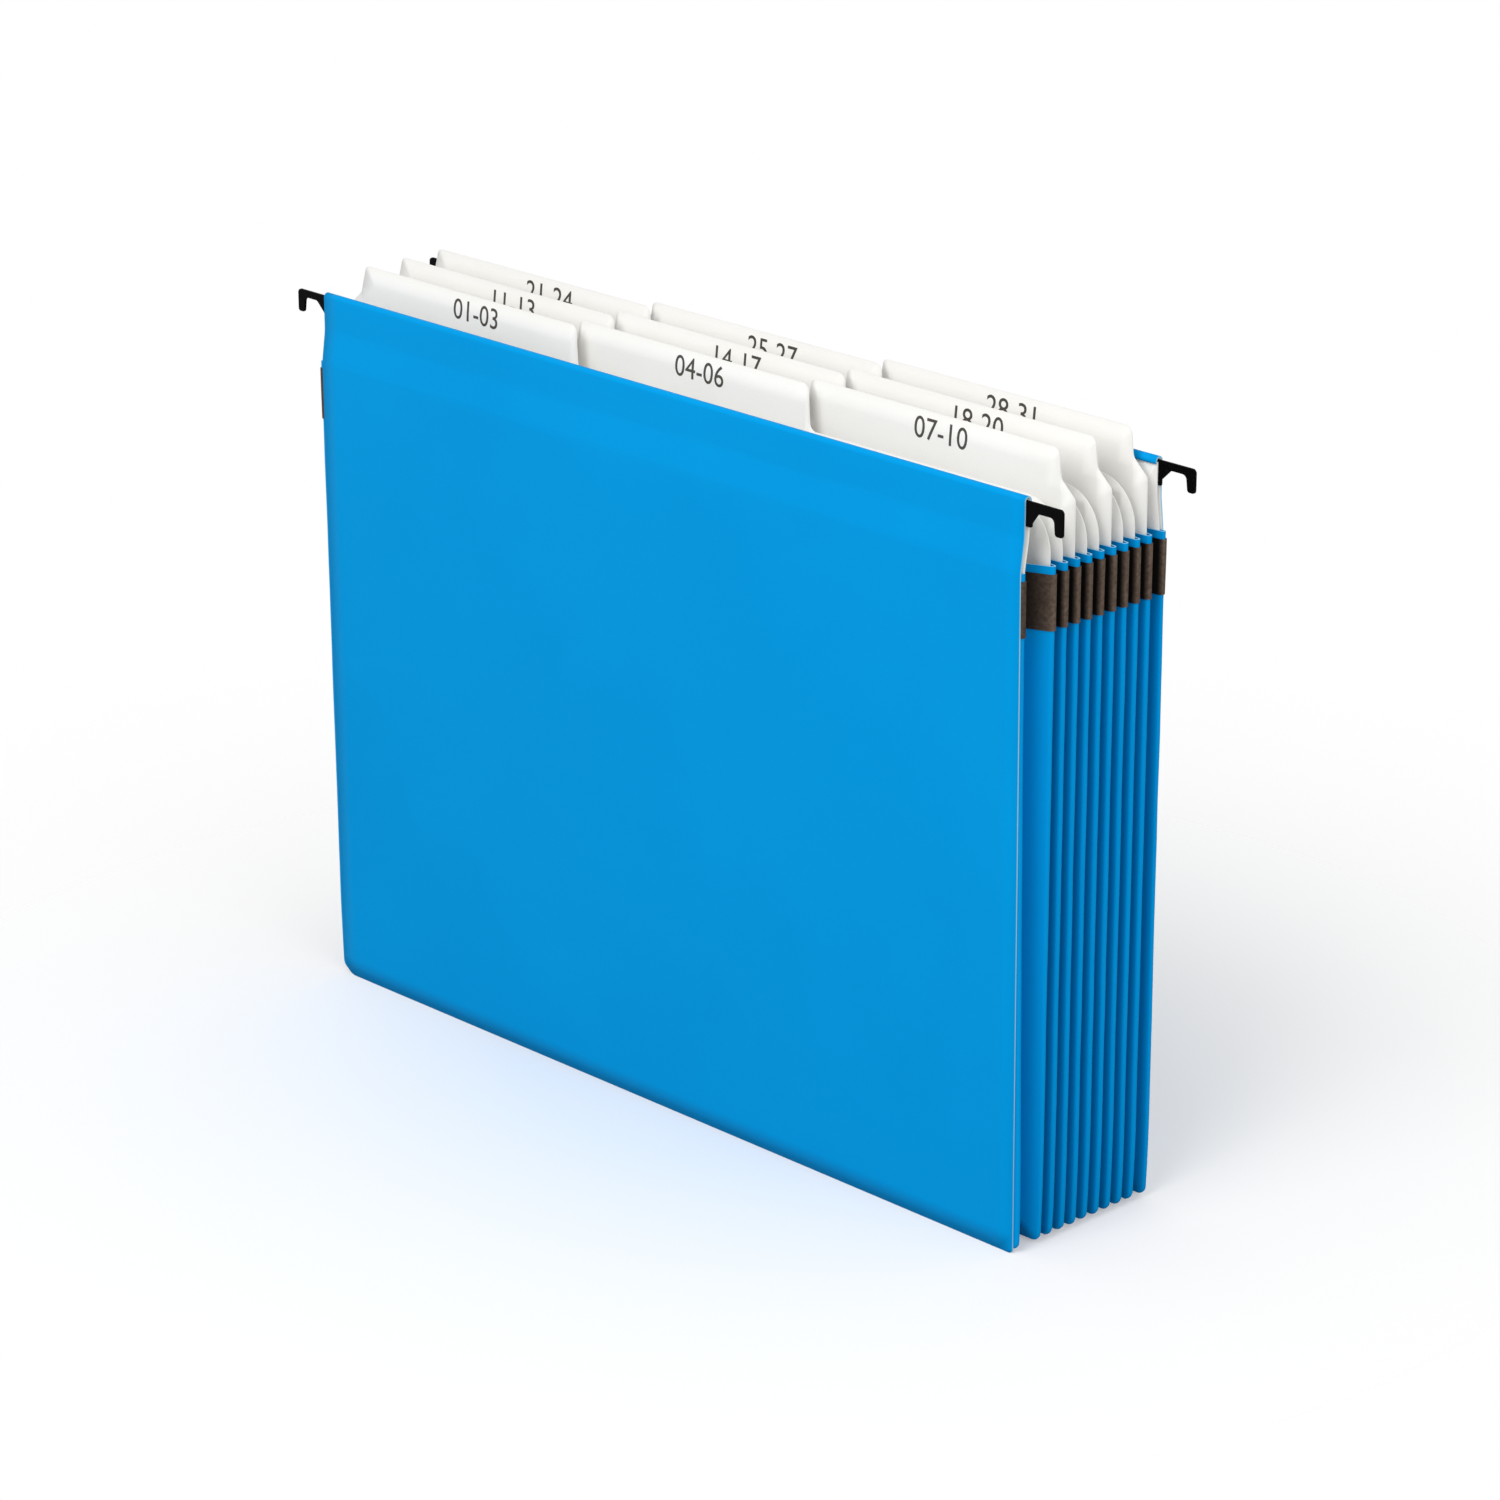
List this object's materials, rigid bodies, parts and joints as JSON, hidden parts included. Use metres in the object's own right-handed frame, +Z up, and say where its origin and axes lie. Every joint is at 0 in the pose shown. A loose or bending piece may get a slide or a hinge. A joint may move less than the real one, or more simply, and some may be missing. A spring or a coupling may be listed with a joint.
{
  "type": "hanging expanding file",
  "caption": "Blue card file with hooked hanger rods, a pleated gusset round three sides and white tabbed index dividers.",
  "frame": {"origin": "middle of the bottom edges of the two covers", "axes": "+X along the width towards the right-hand hooks, +Y from the front cover to the back cover, +Z up"},
  "size_m": [0.325, 0.0595, 0.237],
  "materials": {
    "cover_card": "smooth blue laminated card",
    "lining_card": "matt white card",
    "gusset_card": "smooth blue laminated card",
    "divider_card": "smooth white card",
    "tape_cloth": "dark brown woven book cloth",
    "rod": "black paint, satin"
  },
  "bodies": {
    "root": {"front_panel": "cover_card", "back_panel": "cover_card", "front_liner": "lining_card", "back_liner": "lining_card", "front_rod": "rod", "back_rod": "rod", "gusset": "gusset_card", "tape_left": "tape_cloth", "tape_right": "tape_cloth", "divider_1": "divider_card", "divider_2": "divider_card", "divider_3": "divider_card", "divider_4": "divider_card", "divider_5": "divider_card", "divider_6": "divider_card", "divider_7": "divider_card", "divider_8": "divider_card", "divider_9": "divider_card"}
  },
  "joints": []
}
